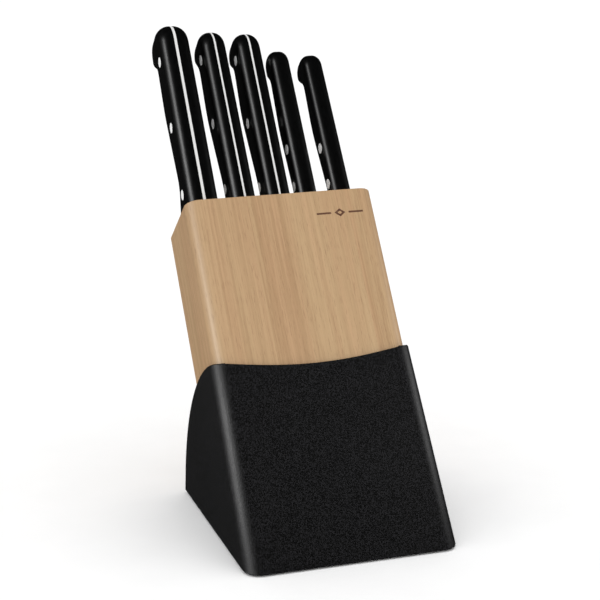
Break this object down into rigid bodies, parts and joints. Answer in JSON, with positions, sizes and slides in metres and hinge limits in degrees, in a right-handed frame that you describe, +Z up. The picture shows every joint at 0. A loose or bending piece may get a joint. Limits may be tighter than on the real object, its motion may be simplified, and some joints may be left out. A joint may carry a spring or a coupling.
{
  "type": "knife block with knives",
  "caption": "Leaning wooden knife block in a hollow moulded base, with riveted kitchen knives standing in its slots; each knife draws out along the lean.",
  "frame": {"origin": "middle of the overall box from side to side and from front to back, on the plane that the feet rest on", "axes": "+Z up, +X to the right across the knives, +Y to the back, the way the block leans"},
  "size_m": [0.1236, 0.2296, 0.2772],
  "materials": {
    "beech": "oiled beech, fine pores, satin",
    "base_plastic": "moulded, fine grain",
    "handle_plastic": "satin black",
    "blade_steel": "satin, ground along the edge",
    "rivet_metal": "polished flush",
    "screw_steel": "zinc plated",
    "rubber": "soft matte"
  },
  "bodies": {
    "block": {"wood_board_1": "beech", "wood_board_2": "beech", "wood_board_3": "beech", "wood_board_4": "beech", "wood_board_5": "beech", "wood_board_6": "beech", "base_shell": "base_plastic", "base_plate": "base_plastic", "block_screws": "screw_steel", "plate_screws": "screw_steel", "rubber_feet": "rubber"},
    "chef_knife": {"chef_blade": "blade_steel", "chef_scale_left": "handle_plastic", "chef_scale_right": "handle_plastic", "chef_rivets": "rivet_metal"},
    "bread_knife": {"bread_blade": "blade_steel", "bread_scale_left": "handle_plastic", "bread_scale_right": "handle_plastic", "bread_rivets": "rivet_metal"},
    "carving_knife": {"carving_blade": "blade_steel", "carving_scale_left": "handle_plastic", "carving_scale_right": "handle_plastic", "carving_rivets": "rivet_metal"},
    "utility_knife": {"utility_blade": "blade_steel", "utility_handle": "handle_plastic", "utility_rivets": "rivet_metal"},
    "paring_knife": {"paring_blade": "blade_steel", "paring_handle": "handle_plastic", "paring_rivets": "rivet_metal"}
  },
  "joints": [
    {"name": "chef_knife_draw", "type": "slide", "parent": "block", "child": "chef_knife", "axis": [0, 0.5736, 0.8192], "range_m": [0, 0.21]},
    {"name": "bread_knife_draw", "type": "slide", "parent": "block", "child": "bread_knife", "axis": [0, 0.5736, 0.8192], "range_m": [0, 0.21]},
    {"name": "carving_knife_draw", "type": "slide", "parent": "block", "child": "carving_knife", "axis": [0, 0.5736, 0.8192], "range_m": [0, 0.19]},
    {"name": "utility_knife_draw", "type": "slide", "parent": "block", "child": "utility_knife", "axis": [0, 0.5736, 0.8192], "range_m": [0, 0.135]},
    {"name": "paring_knife_draw", "type": "slide", "parent": "block", "child": "paring_knife", "axis": [0, 0.5736, 0.8192], "range_m": [0, 0.1]}
  ]
}
